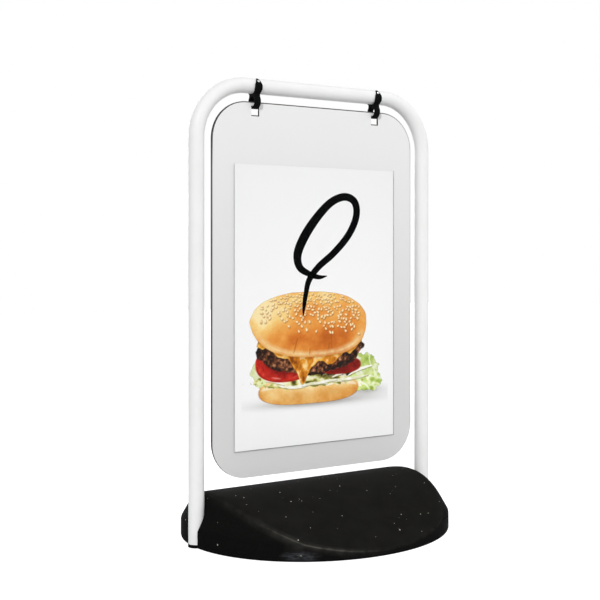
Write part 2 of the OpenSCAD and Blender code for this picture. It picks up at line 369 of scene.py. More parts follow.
@dataclass(frozen=True)
class RecycledRubber(Finish):
    """Crumb of black rubber and PVC, pressed in a mould: near black and dull, with a fine grain, pale crumbs of
    other plastics near the surface, upright faces painted darker as painted shade, a painted highlight along part
    of the crease, and a scuffed patch on the skirt that also carries a painted sheen."""

    upright_shade: str = "#0d0d0d"
    dark: str = "#141413"
    light: str = "#1c1c1a"
    fleck: str = "#262623"
    dull_crumb: str = "#6d6a55"
    pale_crumb: str = "#dcdcd6"
    crease_highlight: str = "#53524d"
    scuffed_sheen: str = "#4c4e52"
    grain_mm: float = 1.3           # real crumb is near 1 mm; drawn a little coarser so that it shows
    grain_deep_mm: float = 0.12
    mottle_mm: float = 45.0
    mottle_deep_mm: float = 0.5
    upright_shade_between: tuple[float, float] = (0.45, 0.85)       # painted shade: upright faces are painted darker until a face looks this far up
    crumb_cell_mm: float = 11.0
    crumb_share: float = 0.3
    crumb_reach: tuple[float, float] = (0.03, 0.12)         # in cells
    line_half_mm: float = 3.4
    line_front_mm: tuple[float, float] = (-215.0, -120.0)   # the thin line fades from here to there along Y
    haze_front_mm: tuple[float, float] = (-180.0, -10.0)    # and the haze around it
    highlight_left_mm: tuple[float, float] = (-110.0, 0.0)       # both fade along X
    highlight_patch_mm: float = 22.0
    # a patch of real scuff with a painted sheen on the skirt's front
    scuff_sheen_at_mm: tuple[float, float, float] = (-176.0, -211.0, 11.0)
    scuff_sheen_half_mm: tuple[float, float, float] = (44.0, 44.0, 12.0)
    streak_mm: float = 3.0
    streak_squeeze: tuple[float, float, float] = (0.18, 0.18, 1.0)
    roughness: float = 0.85
    gloss: float = 0.015

    def crumbs(self, on: Surface, under: Socket) -> Socket:
        """Scatters pale crumbs of uneven size and tint over a colour.

        Args:
            on: the surface that is dressed.
            under: the colour between the crumbs.

        Returns:
            The colour with its crumbs.
        """
        tree, (small, big) = on.tree, self.crumb_reach
        cells = add(tree, CELLS, {"Scale": 1.0 / self.crumb_cell_mm, "Vector": on.place}).outputs
        chance, size, tint = add(tree, "ShaderNodeSeparateColor", {0: cells["Color"]}).outputs
        chosen = add(tree, MATH, {"operation": "LESS_THAN", 0: chance, 1: self.crumb_share}).outputs[0]
        reach = add(tree, RANGE, {0: size, 1: 0.0, 2: 1.0, 3: small, 4: big}).outputs[0]
        near = add(tree, MATH, {"operation": "LESS_THAN", 0: cells["Distance"], 1: reach}).outputs[0]
        here = add(tree, MATH, {"operation": "MULTIPLY", 0: chosen, 1: near}).outputs[0]
        shade = add(tree, MIX, {"data_type": "RGBA", 0: tint, 6: self.dull_crumb, 7: self.pale_crumb}).outputs[2]
        return add(tree, MIX, {"data_type": "RGBA", 0: here, 6: under, 7: shade}).outputs[2]

    def crease(self, on: Surface) -> Socket:
        """How much painted highlight lies on the crease: a thin line in a faint haze, strongest at the front left.

        Args:
            on: the surface that is dressed.

        Returns:
            A socket from 0 to 1.
        """
        tree, (x, y, _) = on.tree, add(on.tree, SPLIT, {0: on.place}).outputs
        above = add(tree, LAYER, {"attribute_name": CREASE_LAYER}).outputs["Fac"]
        above = add(tree, MATH, {"operation": "SUBTRACT", 0: above, 1: 1.0}).outputs[0]
        off = add(tree, MATH, {"operation": "ABSOLUTE", 0: above}).outputs[0]
        marks = []
        # painted highlight: a thin line in a faint haze along the crease
        for strength, width_mm, rest, (start, end) in (
            (0.9, self.line_half_mm, 0.1, self.line_front_mm),
            (0.26, 4 * self.line_half_mm, 0.0, self.haze_front_mm),
        ):
            line = add(tree, RANGE, {0: off, 1: 0.0, 2: width_mm, 3: strength, 4: 0.0}).outputs[0]
            fade = add(tree, RANGE, {0: y, 1: start, 2: end, 3: 1.0, 4: rest}).outputs[0]
            marks.append(add(tree, MATH, {"operation": "MULTIPLY", 0: line, 1: fade}).outputs[0])
        thin, haze = marks
        look = {"Scale": 1.0 / self.highlight_patch_mm, "Detail": 5.0, "Roughness": 0.55, "Vector": on.place}
        patches = add(tree, NOISE, look).outputs["Fac"]
        patchy = add(tree, RANGE, {0: patches, 1: 0.35, 2: 0.62, 3: 0.3, 4: 1.0}).outputs[0]
        start, end = self.highlight_left_mm
        left = add(tree, RANGE, {0: x, 1: start, 2: end, 3: 1.0, 4: 0.12}).outputs[0]
        highlight_spread = add(tree, MATH, {"operation": "MULTIPLY", 0: patchy, 1: left}).outputs[0]
        overtone = add(tree, MATH, {"operation": "MAXIMUM", 0: thin, 1: haze}).outputs[0]
        return add(tree, MATH, {"operation": "MULTIPLY", 0: overtone, 1: highlight_spread}).outputs[0]

    def scuff_sheen(self, on: Surface) -> Socket:
        """How much the skirt is scuffed and painted with a sheen at one place, in streaks that run along it.

        Args:
            on: the surface that is dressed.

        Returns:
            A socket from 0 to 1.
        """
        tree = on.tree
        away = add(tree, VECTOR, {"operation": "SUBTRACT", 0: on.place, 1: self.scuff_sheen_at_mm}).outputs[0]
        away = add(tree, VECTOR, {"operation": "DIVIDE", 0: away, 1: self.scuff_sheen_half_mm}).outputs[0]
        reach = add(tree, VECTOR, {"operation": "LENGTH", 0: away}).outputs["Value"]
        near = add(tree, RANGE, {0: reach, 1: 0.0, 2: 1.0, 3: 1.0, 4: 0.0}).outputs[0]
        along = add(tree, VECTOR, {"operation": "MULTIPLY", 0: on.place, 1: self.streak_squeeze}).outputs[0]
        look = {"Scale": 1.0 / self.streak_mm, "Detail": 4.0, "Roughness": 0.55, "Vector": along}
        streaks = add(tree, NOISE, look).outputs["Fac"]
        streaks = add(tree, RANGE, {0: streaks, 1: 0.4, 2: 0.62, 3: 0.15, 4: 1.0}).outputs[0]
        return add(tree, MATH, {"operation": "MULTIPLY", 0: near, 1: streaks}).outputs[0]

    def dress(self, on: Surface) -> None:
        """Mottled black with grain, painted shade, a painted crease highlight, scuff with painted sheen, and
        crumbs.

        Args:
            on: the surface that is dressed.
        """
        tree, (low, high) = on.tree, self.upright_shade_between
        grain, mottle = (
            add(tree, NOISE, {"Scale": 1.0 / size_mm, "Detail": detail, "Roughness": 0.55,
                              "Vector": on.place}).outputs["Fac"]
            for size_mm, detail in ((self.grain_mm, 2.0), (self.mottle_mm, 4.0))
        )
        normal = add(tree, "ShaderNodeTexCoord").outputs["Normal"]
        up = add(tree, SPLIT, {0: normal}).outputs[2]
        dust = add(tree, RANGE, {0: mottle, 1: 0.3, 2: 0.7, 3: 0.0, 4: 1.0}).outputs[0]
        # painted shade: faces that look less far up take the darker upright colour
        level = add(tree, RANGE, {0: up, 1: low, 2: high, 3: 0.0, 4: 1.0}).outputs[0]
        speck = add(tree, RANGE, {0: grain, 1: 0.55, 2: 0.75, 3: 0.0, 4: 0.5}).outputs[0]
        colour = add(tree, MIX, {"data_type": "RGBA", 0: dust, 6: self.dark, 7: self.light}).outputs[2]
        colour = add(tree, MIX, {"data_type": "RGBA", 0: level, 6: self.upright_shade, 7: colour}).outputs[2]
        marks = ((speck, self.fleck), (self.scuff_sheen(on), self.scuffed_sheen), (self.crease(on), self.crease_highlight))
        for share, mark in marks:
            colour = add(tree, MIX, {"data_type": "RGBA", 0: share, 6: colour, 7: mark}).outputs[2]
        dull, bright = self.roughness - 0.08, self.roughness + 0.08
        deep = {"Strength": 1.0, "Distance": self.mottle_deep_mm * MM, "Height": mottle}
        fine = {"Strength": 1.0, "Distance": self.grain_deep_mm * MM, "Height": grain}
        on.feed({
            "Base Color": self.crumbs(on, colour),
            "Roughness": add(tree, RANGE, {0: mottle, 1: 0.3, 2: 0.7, 3: dull, 4: bright}).outputs[0],
            "Specular IOR Level": self.gloss,
            "Normal": add(tree, BUMP, {**fine, "Normal": add(tree, BUMP, deep).outputs[0]}).outputs[0],
        })


@dataclass(frozen=True)
class RigidPvcBoard(Finish):
    """Light grey rigid PVC sheet, calendered and sawn: a dead flat satin face painted a shade darker towards its
    foot as painted shade, sawn edges painted near black as shade, and a thin line of painted shade inside its top
    and sides and under each hole."""

    upper: str = "#e9e9e9"
    lower: str = "#d5d5d5"
    edge: str = "#18181a"
    rim_shade: str = "#4a4a4a"
    shade_fade_mm: float = 300.0
    head_mm: float = 901.0
    half_width_mm: float = 255.0
    half_thick_mm: float = 2.47     # a hair less than the real half, so that only the sawn edge lies inside it
    corner_mm: float = 80.0
    rim_shade_mm: float = 2.2
    rim_shade_high_mm: tuple[float, float] = (761.0, 841.0)     # over which the sides' line gains strength
    hole_x_mm: float = 153.5
    hole_low_mm: float = 873.63
    hole_half_mm: float = 9.5
    cloud_mm: float = 120.0
    unevenness: float = 0.12
    stipple_mm: float = 1.1
    stipple_deep_mm: float = 0.012
    roughness: float = 0.5
    gloss: float = 0.1

    def rim(self, on: Surface, x: Socket, z: Socket) -> Socket:
        """Marks the line of painted shade inside the board's top and side edges and under each hole.

        Args:
            on: the surface that is dressed.
            x: how far across the board, in millimetres.
            z: how high on the board, in millimetres.

        Returns:
            A socket that is 1 on the line and 0 elsewhere, and less towards +X and lower down the sides.
        """
        tree = on.tree
        # painted shade: a thin dark line inside the top and side edges and under each hole
        across = add(tree, MATH, {"operation": "ABSOLUTE", 0: x}).outputs[0]
        squares = []
        for way, end in ((across, self.half_width_mm), (z, self.head_mm)):
            past = add(tree, MATH, {"operation": "SUBTRACT", 0: way, 1: end - self.corner_mm}).outputs[0]
            past = add(tree, MATH, {"operation": "MAXIMUM", 0: past, 1: 0.0}).outputs[0]
            squares.append(add(tree, MATH, {"operation": "POWER", 0: past, 1: 2.0}).outputs[0])
        total = add(tree, MATH, {"operation": "ADD", 0: squares[0], 1: squares[1]}).outputs[0]
        corner = add(tree, MATH, {"operation": "SQRT", 0: total}).outputs[0]
        inner = self.corner_mm - self.rim_shade_mm
        line = add(tree, MATH, {"operation": "GREATER_THAN", 0: corner, 1: inner}).outputs[0]
        low, high = self.rim_shade_high_mm
        rim_side_fade = add(tree, RANGE, {0: x, 1: self.hole_x_mm, 2: self.half_width_mm, 3: 1.0, 4: 0.4}).outputs[0]
        gained = add(tree, RANGE, {0: z, 1: low, 2: high, 3: 0.5, 4: 1.0}).outputs[0]
        for share in (rim_side_fade, gained):
            line = add(tree, MATH, {"operation": "MULTIPLY", 0: line, 1: share}).outputs[0]
        half = self.rim_shade_mm / 2
        beside = {"operation": "COMPARE", 0: across, 1: self.hole_x_mm, 2: self.hole_half_mm}
        under = {"operation": "COMPARE", 0: z, 1: self.hole_low_mm - half, 2: half}
        beside, under = (add(tree, MATH, settings).outputs[0] for settings in (beside, under))
        hole = add(tree, MATH, {"operation": "MULTIPLY", 0: beside, 1: under}).outputs[0]
        return add(tree, MATH, {"operation": "MAXIMUM", 0: line, 1: hole}).outputs[0]

    def dress(self, on: Surface) -> None:
        """Painted shade that fades up the sheet, with the sawn edge picked out by where it lies and painted dark.

        Args:
            on: the surface that is dressed.
        """
        tree, (x, y, z) = on.tree, add(on.tree, SPLIT, {0: on.place}).outputs
        cloud, stipple = (
            add(tree, NOISE, {"Scale": 1.0 / size_mm, "Detail": detail, "Roughness": 0.55,
                              "Vector": on.place}).outputs["Fac"]
            for size_mm, detail in ((self.cloud_mm, 3.0), (self.stipple_mm, 1.0))
        )
        # painted shade: the face darkens from its head down towards its foot
        height = add(tree, RANGE, {0: z, 1: self.shade_fade_mm, 2: self.head_mm, 3: 0.0, 4: 1.0}).outputs[0]
        swing = add(tree, MATH, {"operation": "SUBTRACT", 0: cloud, 1: 0.5}).outputs[0]
        height_shade_and_cloud = {"operation": "MULTIPLY_ADD", 0: swing, 1: self.unevenness, 2: height}
        height_shade_and_cloud = add(tree, MATH, height_shade_and_cloud).outputs[0]
        thick = add(tree, MATH, {"operation": "ABSOLUTE", 0: y}).outputs[0]
        # painted shade: the sawn edge faces are painted near black
        shaded_edge_face = add(tree, MATH, {"operation": "LESS_THAN", 0: thick, 1: self.half_thick_mm}).outputs[0]
        colour = add(tree, MIX, {"data_type": "RGBA", 0: height_shade_and_cloud, 6: self.lower, 7: self.upper}).outputs[2]
        for share, mark in ((self.rim(on, x, z), self.rim_shade), (shaded_edge_face, self.edge)):
            colour = add(tree, MIX, {"data_type": "RGBA", 0: share, 6: colour, 7: mark}).outputs[2]
        low, high = self.roughness - 0.04, self.roughness + 0.08
        deep = self.stipple_deep_mm * MM
        on.feed({
            "Base Color": colour, "Specular IOR Level": self.gloss,
            "Roughness": add(tree, RANGE, {0: cloud, 1: 0.3, 2: 0.7, 3: low, 4: high}).outputs[0],
            "Normal": add(tree, BUMP, {"Strength": 1.0, "Distance": deep, "Height": stipple}).outputs[0],
        })


@dataclass(frozen=True)
class ClearPetgFilm(Finish):
    """Half a millimetre of clear PETG, folded over at the reader's left and welded at the right and the foot: all
    but unseen over the paper, with a soft gloss that ripples a little, and a line at the weld whose grey is painted
    shadow."""

    tint: str = "#5f6568"
    seam_shadow: str = "#85898c"
    clear: float = 0.008
    seam_shadow_alpha: float = 0.26
    half_width_mm: float = 205.0
    low_mm: float = 180.0
    weld_mm: float = 1.4
    ripple_mm: float = 60.0
    ripple_deep_mm: float = 0.2
    roughness: float = 0.12
    ior: float = 1.57
    gloss: float = 0.04

    def dress(self, on: Surface) -> None:
        """Nearly clear, with the weld showing by its alpha in a grey that is painted shadow.

        Args:
            on: the surface that is dressed.
        """
        tree, (x, y, z) = on.tree, add(on.tree, SPLIT, {0: on.place}).outputs
        way = add(tree, MATH, {"operation": "SIGN", 0: y}).outputs[0]
        to_left = add(tree, MATH, {"operation": "MULTIPLY", 0: x, 1: way}).outputs[0]
        side, foot = (
            add(tree, MATH, {"operation": "LESS_THAN", 0: spot, 1: limit}).outputs[0]
            for spot, limit in ((to_left, self.weld_mm - self.half_width_mm),
                                (z, self.low_mm + self.weld_mm / 2))
        )
        # painted shadow: the weld at the right and the foot is laid in dark grey
        seam_shadow_line = add(tree, MATH, {"operation": "MAXIMUM", 0: side, 1: foot}).outputs[0]
        look = {"Scale": 1.0 / self.ripple_mm, "Detail": 2.0, "Roughness": 0.55, "Vector": on.place}
        ripple, deep = add(tree, NOISE, look).outputs["Fac"], self.ripple_deep_mm * MM
        on.feed({
            "Base Color": add(tree, MIX, {"data_type": "RGBA", 0: seam_shadow_line,
                                          6: self.tint, 7: self.seam_shadow}).outputs[2],
            "Roughness": self.roughness, "IOR": self.ior, "Specular IOR Level": self.gloss,
            "Alpha": add(tree, RANGE, {0: seam_shadow_line, 1: 0.0, 2: 1.0, 3: self.clear, 4: self.seam_shadow_alpha}).outputs[0],
            "Normal": add(tree, BUMP, {"Strength": 1.0, "Distance": deep, "Height": ripple}).outputs[0],
        })


@dataclass(frozen=True)
class PosterPaper(Finish):
    """Coated poster paper: a bright white that falls off slightly towards its corners, with a faint fibre."""

    middle: str = "#fbfbfb"
    corner: str = "#efefef"
    centre_mm: tuple[float, float, float] = (0.0, 0.0, 330.0)
    fall_mm: tuple[float, float] = (60.0, 480.0)        # the fall-off begins and ends this far out
    fibre_mm: float = 0.9
    fibre_deep_mm: float = 0.01
    roughness: float = 0.55
    gloss: float = 0.15

    def dress(self, on: Surface) -> None:
        """White with a printed fall-off, measured out from a spot below the sheet's middle.

        Args:
            on: the surface that is dressed.
        """
        tree, (start, end) = on.tree, self.fall_mm
        away = add(tree, VECTOR, {"operation": "DISTANCE", 0: on.place, 1: self.centre_mm}).outputs["Value"]
        fall = add(tree, RANGE, {0: away, 1: start, 2: end, 3: 0.0, 4: 1.0}).outputs[0]
        look = {"Scale": 1.0 / self.fibre_mm, "Detail": 3.0, "Roughness": 0.55, "Vector": on.place}
        fibre, deep = add(tree, NOISE, look).outputs["Fac"], self.fibre_deep_mm * MM
        low, high = self.roughness - 0.05, self.roughness + 0.05
        on.feed({
            "Base Color": add(tree, MIX, {"data_type": "RGBA", 0: fall, 6: self.middle, 7: self.corner}).outputs[2],
            "Roughness": add(tree, RANGE, {0: fibre, 1: 0.3, 2: 0.7, 3: low, 4: high}).outputs[0],
            "Specular IOR Level": self.gloss,
            "Normal": add(tree, BUMP, {"Strength": 1.0, "Distance": deep, "Height": fibre}).outputs[0],
        })


@dataclass(frozen=True)
class ProcessPrint(Finish):
    """Four-colour print: the inks lie in the paper, so the colour is the picture's and the gloss the paper's."""

    screen_mm: float = 0.7          # a real screen is near 0.15 mm; drawn coarser so that it can show
    screen_tone: tuple[float, float] = (0.97, 1.03)
    roughness: float = 0.42
    gloss: float = 0.1

    def dress(self, on: Surface) -> None:
        """The painted layer with a trace of screen grain.

        Args:
            on: the surface that is dressed.
        """
        tree, (low, high) = on.tree, self.screen_tone
        ink = add(tree, LAYER, {"attribute_name": INK_LAYER}).outputs
        look = {"Scale": 1.0 / self.screen_mm, "Detail": 1.0, "Roughness": 0.55, "Vector": on.place}
        screen = add(tree, NOISE, look).outputs["Fac"]
        grain = add(tree, RANGE, {0: screen, 1: 0.3, 2: 0.7, 3: low, 4: high}).outputs[0]
        on.feed({
            "Base Color": add(tree, VECTOR, {"operation": "SCALE", 0: ink["Color"], "Scale": grain}).outputs[0],
            "Alpha": ink["Alpha"], "Roughness": self.roughness, "Specular IOR Level": self.gloss,
        })


@dataclass(frozen=True)
class FoamTape(Finish):
    """White closed-cell polyethylene foam tape: dull, off-white, with small open cells at its cut sides."""

    colour: str = "#ecebe6"
    cell: str = "#cfcdc6"
    cell_mm: float = 0.6
    cell_deep_mm: float = 0.05
    roughness: float = 0.85

    def dress(self, on: Surface) -> None:
        """Off-white with fine cells.

        Args:
            on: the surface that is dressed.
        """
        tree, deep = on.tree, self.cell_deep_mm * MM
        cells = add(tree, CELLS, {"Scale": 1.0 / self.cell_mm, "Vector": on.place}).outputs["Distance"]
        wall = add(tree, RANGE, {0: cells, 1: 0.2, 2: 0.7, 3: 0.0, 4: 1.0}).outputs[0]
        on.feed({
            "Base Color": add(tree, MIX, {"data_type": "RGBA", 0: wall, 6: self.cell, 7: self.colour}).outputs[2],
            "Roughness": self.roughness,
            "Normal": add(tree, BUMP, {"Strength": 1.0, "Distance": deep, "Height": cells}).outputs[0],
        })


class Finishes:
    """All the sign's materials, each made once."""

    def __init__(self) -> None:
        """Builds every material."""
        self.rubber = RecycledRubber("recycled_rubber").build()
        self.powder = PowderCoat("white_powder_coat").build()
        self.nylon = MouldedNylon("black_moulded_nylon").build()
        self.zinc = ZincPlate("bright_zinc_plate").build()
        self.board = RigidPvcBoard("grey_rigid_pvc").build()
        self.film = ClearPetgFilm("clear_petg_film").build()
        self.paper = PosterPaper("coated_poster_paper").build()
        self.process = ProcessPrint("process_print").build()
        self.black = BlackInk("solid_black_ink").build()
        self.foam = FoamTape("white_foam_tape").build()


# ---------------------------------------------------------------- the stand


@dataclass
class MouldedBase:
    """The heavy oval base: a rounded ridge, two slopes, a leaning skirt and an open slot for each leg."""

    half_width: float = 0.2963
    half_depth: float = 0.25985
    ridge_height: float = 0.1011
    ridge_radius: float = 0.145
    slope: float = 0.577
    skirt_height: float = 0.0343
    skirt_rise: float = 1.7321      # height gained by the skirt for each length that it leans in
    crease: float = 0.016           # over which skirt and slope run into each other
    edge_round: float = 0.0035
    sole_in: tuple[float, ...] = (0.006, 0.003)     # stations on the sole, in from the outline
    leg_x: float = 0.289
    slot_radius: float = 0.0175
    slot_run: float = 0.05          # how far a slot is cut out past its leg, and how high
    slot_top: float = 0.13
    slot_floor: float = 0.005
    tongue_radius: float = 0.0165
    recess_radius: float = 0.015
    recess_depth: float = 0.0024
    bolt_hole_radius: float = 0.0065
    cut_past: float = 0.01          # how far a cut from below runs past what it cuts
    weld_reach: float = 5e-6
    sharp_deg: float = 38.0
    around: int = 288
    stations: int = 60
    bunching: float = 1.35          # draws the stations together towards the foot
    pitch: float = 0.0005           # spacing of the fine outline that is rounded off
    wall_depth: float = 0.001       # points no further in than this count as on the wall
    wall_lead: float = 0.003
    wall_gain: float = 2.2
    inset_rows: int = 1200
    wall_rows: int = 59

    def crown(self, across: np.ndarray) -> np.ndarray:
        """Height of the ridge and its slopes at a distance from the middle line."""
        fall = np.sqrt(across ** 2 + self.ridge_radius ** 2) - self.ridge_radius
        return self.ridge_height - self.slope * fall

    def section(self, angle: float) -> np.ndarray:
        """The outline of the base from its foot to the middle line, cut at one angle round the oval.

        Args:
            angle: where round the oval, in radians from +X.

        Returns:
            Rows of distance in from the outline, and height, one for each station.
        """
        inset = np.linspace(0.0, self.half_depth, self.inset_rows)
        roof = self.crown((self.half_depth - inset) * math.sin(angle))
        skirt = self.skirt_height + self.skirt_rise * inset
        share = np.clip(0.5 + 0.5 * (skirt - roof) / self.crease, 0.0, 1.0)
        top = skirt * (1 - share) + roof * share - self.crease * share * (1 - share)
        wall = np.linspace(0.0, top[0], self.wall_rows, endpoint=False)
        sole = [[distance, 0.0] for distance in self.sole_in]
        wall = np.column_stack([np.zeros(self.wall_rows), wall])
        line = np.vstack([sole, wall, np.column_stack([inset, top])])
        length = np.concatenate([[0.0], np.cumsum(np.hypot(*np.diff(line, axis=0).T))])
        even = np.arange(0.0, length[-1], self.pitch)
        fine = np.column_stack([np.interp(even, length, line[:, k]) for k in (0, 1)])
        reach = int(self.edge_round / self.pitch)
        window = np.hanning(2 * reach + 3)[1:-1]
        window /= window.sum()
        padded = np.vstack([np.repeat(fine[:1], reach, axis=0), fine, np.repeat(fine[-1:], reach, axis=0)])
        soft = np.column_stack([np.convolve(padded[:, k], window, mode="valid") for k in (0, 1)])
        soft[-1] = line[-1]
        soft[0, 1] = 0.0
        picks = np.linspace(0.0, 1.0, self.stations) ** self.bunching * (len(soft) - 1)
        steps = np.arange(len(soft))
        return np.column_stack([np.interp(picks, steps, soft[:, k]) for k in (0, 1)])

    def shell(self) -> bpy.types.Mesh:
        """The whole base without its slots.

        Returns:
            A closed mesh.
        """
        points, faces = [], []
        for i in range(self.around):
            angle = 2 * math.pi * (i + 0.5) / self.around
            rows = self.section(angle)
            inset = rows[:, 0]
            points.append(np.column_stack([
                (self.half_width - inset) * math.cos(angle),
                (self.half_depth - inset) * math.sin(angle),
                rows[:, 1],
            ]))
        n = self.stations
        for i in range(self.around):
            j = (i + 1) % self.around
            faces += [[i * n + k, j * n + k, j * n + k + 1, i * n + k + 1] for k in range(n - 1)]
        faces.append([i * n for i in reversed(range(self.around))])
        return mesh_from("moulded_base", np.vstack(points), faces)

    def inset_of(self, x: np.ndarray, y: np.ndarray) -> np.ndarray:
        """How far points of the plan lie in from the outline.

        Args:
            x: where they are across the base.
            y: where they are along its depth.

        Returns:
            One distance for each point.
        """
        low, high = np.zeros(len(x)), np.full(len(x), self.half_depth - 1e-4)
        for _ in range(32):
            middle = (low + high) / 2
            outside = (x / (self.half_width - middle)) ** 2 + (y / (self.half_depth - middle)) ** 2 > 1
            high, low = np.where(outside, middle, high), np.where(outside, low, middle)
        return (low + high) / 2

    def mark_crease(self, piece: Piece) -> None:
        """Writes point by point, in millimetres, how far in from the crease round the slopes each point lies.

        The crease is the line where the slopes meet the leaning skirt, and along the front and back it is the
        upper edge of the wall.

        Args:
            piece: the base, which gets the layer.
        """
        flat = np.empty(len(piece.data.vertices) * 3, dtype=np.float32)
        piece.data.vertices.foreach_get("co", flat)
        x, y, z = flat.reshape(-1, 3).T.astype(float)
        inset, roof = self.inset_of(x, y), self.crown(y)
        from_skirt = self.skirt_height + self.skirt_rise * inset - roof
        on_wall = inset < self.wall_depth
        above_wall = z - np.minimum(roof, self.skirt_height) + self.wall_lead
        from_wall = np.where(on_wall, above_wall, self.wall_gain * inset)
        marks = piece.data.attributes.new(CREASE_LAYER, "FLOAT", "POINT")
        marks.data.foreach_set("value", (np.minimum(from_skirt, from_wall) / MM).astype(np.float32))

    def drum(self, x: float, radius: float, low: float, high: float, run: float = 0.0) -> bpy.types.Mesh:
        """A round plug, or one drawn out along X into a slot.

        Args:
            x: its centre.
            radius: its radius.
            low: its lower end.
            high: its upper end.
            run: how far the slot runs out past the centre; its sign is the way that it runs.

        Returns:
            A closed mesh.
        """
        count = 64
        turn = np.linspace(0, 2 * math.pi, count, endpoint=False)
        ring = np.column_stack([x + radius * np.cos(turn), radius * np.sin(turn)])
        if run:
            outer = np.cos(turn) * run > 1e-9
            ring[outer, 0] = x + run
            ring[outer, 1] = np.sign(ring[outer, 1]) * radius
            keep = [0] + [k for k in range(1, count) if np.hypot(*(ring[k] - ring[k - 1])) > 1e-7]
            ring = ring[keep]
        count = len(ring)
        points = np.vstack([np.column_stack([ring, np.full(count, z)]) for z in (low, high)])
        faces = [[k, (k + 1) % count, count + (k + 1) % count, count + k] for k in range(count)]
        faces += [list(range(count))[::-1], [count + k for k in range(count)]]
        return mesh_from("base_tool", points, faces)

    def cut(self, piece: Piece, tool: bpy.types.Mesh, operation: str = "DIFFERENCE") -> None:
        """Cuts a tool out of the piece, or joins it on.

        Args:
            piece: the piece that changes.
            tool: the closed mesh that it is cut with.
            operation: the boolean modifier's name for what is done.
        """
        other = new_object("base_tool", tool)
        step = piece.modifiers.new("cut", "BOOLEAN")
        step.operation, step.solver, step.object = operation, "EXACT", other
        apply_modifiers(piece)
        bpy.data.objects.remove(other)

    def build(self, finishes: Finishes) -> Piece:
        """Makes the base with its slots and the recesses underneath.

        Args:
            finishes: the sign's materials.

        Returns:
            The finished piece.
        """
        piece = new_object("moulded_base", self.shell())
        for side in (-1.0, 1.0):
            x = side * self.leg_x
            slot = self.drum(x, self.slot_radius, self.slot_floor, self.slot_top, side * self.slot_run)
            self.cut(piece, slot)
            self.cut(piece, self.drum(x, self.tongue_radius, 0.0, self.slot_floor), "UNION")
            self.cut(piece, self.drum(x, self.recess_radius, -self.cut_past, self.recess_depth))
            self.cut(piece, self.drum(x, self.bolt_hole_radius, -self.cut_past, self.cut_past))
        weld(piece.data, self.weld_reach)
        self.mark_crease(piece)
        piece.data.shade_smooth()
        piece.data.set_sharp_from_angle(angle=math.radians(self.sharp_deg))
        dress(piece, finishes.rubber)
        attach(piece, Body.STAND.value)
        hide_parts("base")
        return piece


@dataclass
class Hangers:
    """The two nylon hangers, with the small soft edges that a mould leaves."""

    nodes: tuple[str, ...] = ("hanger_left", "hanger_right")
    voxel: float = 0.00055
    rounds: int = 5
    softness: float = 0.5

    def build(self, finishes: Finishes) -> Pieces:
        """Makes both hangers.

        Args:
            finishes: the sign's materials.

        Returns:
            The two finished pieces.
        """
        made = []
        for node in self.nodes:
            piece = new_object(node + "_moulded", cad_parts[node].data.copy())
            piece.data.materials.clear()
            blocks = piece.modifiers.new("blocks", "REMESH")
            blocks.mode, blocks.voxel_size = "VOXEL", self.voxel
            soften = piece.modifiers.new("soften", "SMOOTH")
            soften.factor, soften.iterations = self.softness, self.rounds
            apply_modifiers(piece)
            piece.data.shade_smooth()
            dress(piece, finishes.nylon)
            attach(piece, Body.STAND.value)
            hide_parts(node)
            made.append(piece)
        return made


@dataclass
class StandHardware:
    """The hoop, foot plugs and fasteners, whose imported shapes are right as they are."""

    powder_nodes: tuple[str, ...] = ("frame_tube",)
    plug_nodes: tuple[str, ...] = ("foot_plug_left", "foot_plug_right")
    zinc_nodes: tuple[str, ...] = ("plug_nuts", "base_bolts", "base_washers", "hanger_screws")

    def build(self, finishes: Finishes) -> Pieces:
        """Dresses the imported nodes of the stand.

        Args:
            finishes: the sign's materials.

        Returns:
            The dressed nodes.
        """
        return [
            *dress_nodes(self.powder_nodes, finishes.powder),
            *dress_nodes(self.plug_nodes, finishes.nylon),
            *dress_nodes(self.zinc_nodes, finishes.zinc),
        ]


# ---------------------------------------------------------------- the poster's picture


